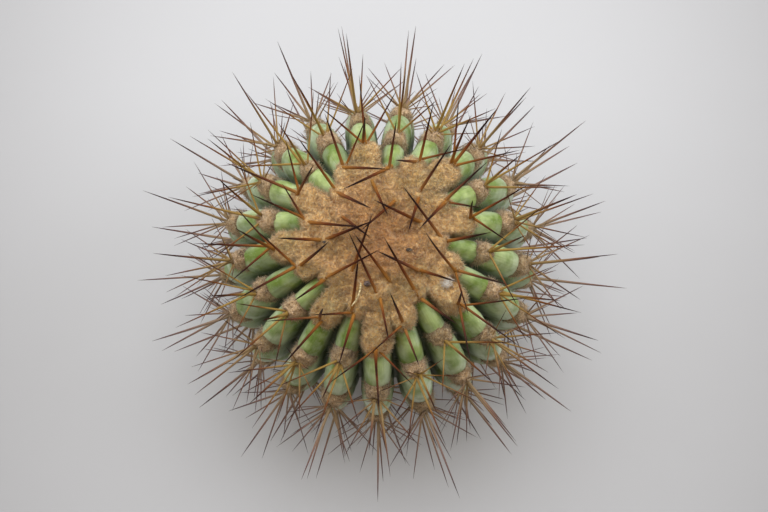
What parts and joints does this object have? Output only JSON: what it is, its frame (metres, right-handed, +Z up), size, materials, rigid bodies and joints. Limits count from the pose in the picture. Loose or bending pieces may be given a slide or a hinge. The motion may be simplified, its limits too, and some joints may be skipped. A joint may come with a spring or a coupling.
{
  "type": "copiapoa cactus",
  "caption": "Globular cactus without a pot: a green ribbed stem, a crown of tan felt, long amber spines on woolly areoles and a short cut root neck that it stands on.",
  "frame": {"origin": "centre of the root neck's flat cut foot, which the plant stands on", "axes": "+Z up along the stem, -Y towards the viewer, +X to the right"},
  "size_m": [0.1473, 0.1444, 0.0979],
  "materials": {
    "waxy_skin": "satin, waxy plant skin",
    "crown_felt": "matt, felted plant wool",
    "root_bark": "matt, rough cork"
  },
  "bodies": {
    "root": {"ribbed_stem": "waxy_skin", "crown_wool": "crown_felt", "root_neck": "root_bark"}
  },
  "joints": []
}
